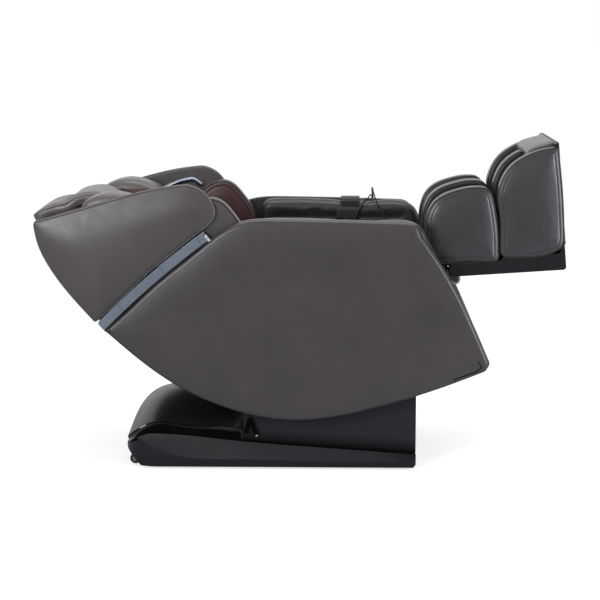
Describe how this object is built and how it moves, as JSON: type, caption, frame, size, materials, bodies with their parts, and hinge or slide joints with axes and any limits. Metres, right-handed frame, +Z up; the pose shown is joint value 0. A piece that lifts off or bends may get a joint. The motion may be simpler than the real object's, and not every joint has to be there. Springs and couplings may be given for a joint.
{
  "type": "reclining massage chair",
  "caption": "Laid-back massage chair: leather side shells, a tipping seat capsule on a low base, calf and foot wells, shoulder pads and a roller carriage behind the back.",
  "frame": {"origin": "on the floor, under the middle of the chair in its laid-back pose", "axes": "+X towards the feet, +Z up, +Y to the sitter's left"},
  "size_m": [1.7609, 0.7577, 1.0769],
  "materials": {
    "shell_leather": "taupe grain leather",
    "upper_leather": "taupe grain leather with a soft sheen",
    "pillow_leather": "light taupe grain leather",
    "seat_leather": "dark taupe perforated leather",
    "pod_leather": "dark red leather",
    "arm_leather": "near-black brown leather",
    "leg_leather": "dark taupe leather with black piping",
    "strip_metal": "satin blue-grey",
    "bright_metal": "polished",
    "base_plastic": "black, satin to gloss",
    "cover_plastic": "black, fine grain",
    "small_plastic": "black",
    "key_plastic": "light grey",
    "frame_paint": "black powder coat",
    "bare_steel": "ground",
    "motor_case": "dark grey",
    "roller_rubber": "firm rubber",
    "black_rubber": "black"
  },
  "bodies": {
    "base": {"floor_frame": "frame_paint", "base_skirt": "base_plastic", "rear_dome": "base_plastic", "tower_cover": "base_plastic", "rubber_feet": "black_rubber", "control_box": "cover_plastic", "air_pump": "small_plastic", "tilt_motor": "motor_case"},
    "wheel_l": {"wheel_left": "black_rubber"},
    "wheel_r": {"wheel_right": "black_rubber"},
    "tilt_ram": {"tilt_rod": "bare_steel"},
    "capsule": {"seat_frame": "frame_paint", "tilt_shaft": "bare_steel", "guide_tracks": "bare_steel", "lower_shell_left": "shell_leather", "lower_shell_right": "shell_leather", "upper_shell_left": "upper_leather", "upper_shell_right": "upper_leather", "trim_strips": "strip_metal", "arm_pad_left": "arm_leather", "arm_pad_right": "arm_leather", "seat_cushion": "seat_leather", "back_pad": "seat_leather", "head_pillow": "pillow_leather", "shoulder_wing_left": "pillow_leather", "shoulder_wing_right": "pillow_leather", "arm_pod_left": "pod_leather", "arm_pod_right": "pod_leather", "wing_bars": "bright_metal", "back_cover": "cover_plastic", "front_cover": "cover_plastic", "leg_motor": "motor_case", "mains_panel": "cover_plastic", "remote": "small_plastic", "remote_pouch": "arm_leather", "remote_cord": "black_rubber", "cord_gland": "small_plastic"},
    "carriage": {"carriage_frame": "frame_paint"},
    "kneader": {"knead_shaft": "bare_steel"},
    "yoke": {"roller_arms": "frame_paint"},
    "rollers_up": {"upper_rollers": "roller_rubber"},
    "rollers_low": {"lower_rollers": "roller_rubber"},
    "leg_rest": {"leg_frame": "frame_paint", "calf_wall_left": "leg_leather", "calf_wall_right": "leg_leather", "calf_wall_middle": "leg_leather", "calf_pad": "seat_leather"},
    "leg_ram": {"leg_rod": "bare_steel"},
    "foot_unit": {"foot_shell": "cover_plastic", "foot_wall_left": "leg_leather", "foot_wall_right": "leg_leather", "foot_wall_middle": "leg_leather", "toe_cover": "leg_leather", "guide_rods": "bare_steel"},
    "sole_roller_low": {"foot_roller_low": "roller_rubber"},
    "sole_roller_high": {"foot_roller_high": "roller_rubber"},
    "mains_rocker": {"power_switch": "small_plastic"},
    "key_power": {"power_button": "key_plastic"},
    "key_auto": {"auto_button": "key_plastic"},
    "key_tilt": {"tilt_button": "key_plastic"}
  },
  "joints": [
    {"name": "capsule_tilt", "type": "hinge", "parent": "base", "child": "capsule", "pos_m": [0.136, 0, 0.424], "axis": [0, 1, 0], "range_deg": [0, 26]},
    {"name": "tilt_ram_slide", "type": "slide", "parent": "base", "child": "tilt_ram", "axis": [0.9498, 0, 0.313], "range_m": [-0.0685, 0]},
    {"name": "leg_rest_fold", "type": "hinge", "parent": "capsule", "child": "leg_rest", "pos_m": [0.47, 0, 0.65], "axis": [0, 1, 0], "range_deg": [0, 60]},
    {"name": "leg_ram_slide", "type": "slide", "parent": "capsule", "child": "leg_ram", "axis": [0.9553, 0, 0.2957], "range_m": [-0.073, 0]},
    {"name": "foot_extension", "type": "slide", "parent": "leg_rest", "child": "foot_unit", "axis": [0.9978, 0, 0.0663], "range_m": [0, 0.07]},
    {"name": "carriage_travel", "type": "slide", "parent": "capsule", "child": "carriage", "axis": [-0.7314, 0, 0.682], "range_m": [-0.19, 0.26]},
    {"name": "knead_spin", "type": "hinge", "parent": "carriage", "child": "kneader", "pos_m": [-0.41214, 0, 0.49645], "axis": [0, 1, 0], "continuous": true},
    {"name": "yoke_rock", "type": "hinge", "parent": "carriage", "child": "yoke", "pos_m": [-0.41214, 0, 0.49645], "axis": [0, 1, 0], "range_deg": [-5, 5]},
    {"name": "upper_roller_spin", "type": "hinge", "parent": "yoke", "child": "rollers_up", "pos_m": [-0.45476, 0, 0.54166], "axis": [0, 1, 0], "continuous": true},
    {"name": "lower_roller_spin", "type": "hinge", "parent": "yoke", "child": "rollers_low", "pos_m": [-0.36407, 0, 0.45709], "axis": [0, 1, 0], "continuous": true},
    {"name": "sole_roller_low_spin", "type": "hinge", "parent": "foot_unit", "child": "sole_roller_low", "pos_m": [0.8269, 0, 0.76891], "axis": [0, 1, 0], "continuous": true},
    {"name": "sole_roller_high_spin", "type": "hinge", "parent": "foot_unit", "child": "sole_roller_high", "pos_m": [0.82061, 0, 0.86371], "axis": [0, 1, 0], "continuous": true},
    {"name": "wheel_left_spin", "type": "hinge", "parent": "base", "child": "wheel_l", "pos_m": [-0.552, 0.24, 0.022], "axis": [0, 1, 0], "continuous": true},
    {"name": "wheel_right_spin", "type": "hinge", "parent": "base", "child": "wheel_r", "pos_m": [-0.552, -0.24, 0.022], "axis": [0, 1, 0], "continuous": true},
    {"name": "mains_rocker_turn", "type": "hinge", "parent": "capsule", "child": "mains_rocker", "pos_m": [-0.54446, 0, 0.39941], "axis": [0, 1, 0], "range_deg": [-8, 8]},
    {"name": "power_button_press", "type": "slide", "parent": "capsule", "child": "key_power", "axis": [0, 1, 0], "range_m": [0, 0.0012], "stiffness_N_per_m": 300},
    {"name": "auto_button_press", "type": "slide", "parent": "capsule", "child": "key_auto", "axis": [0, 1, 0], "range_m": [0, 0.0012], "stiffness_N_per_m": 300},
    {"name": "tilt_button_press", "type": "slide", "parent": "capsule", "child": "key_tilt", "axis": [0, 1, 0], "range_m": [0, 0.0012], "stiffness_N_per_m": 300}
  ],
  "couplings": [
    {"joint": "tilt_ram_slide", "follows": "capsule_tilt", "m_per_rad": -0.1487},
    {"joint": "leg_ram_slide", "follows": "leg_rest_fold", "m_per_rad": -0.0688}
  ]
}
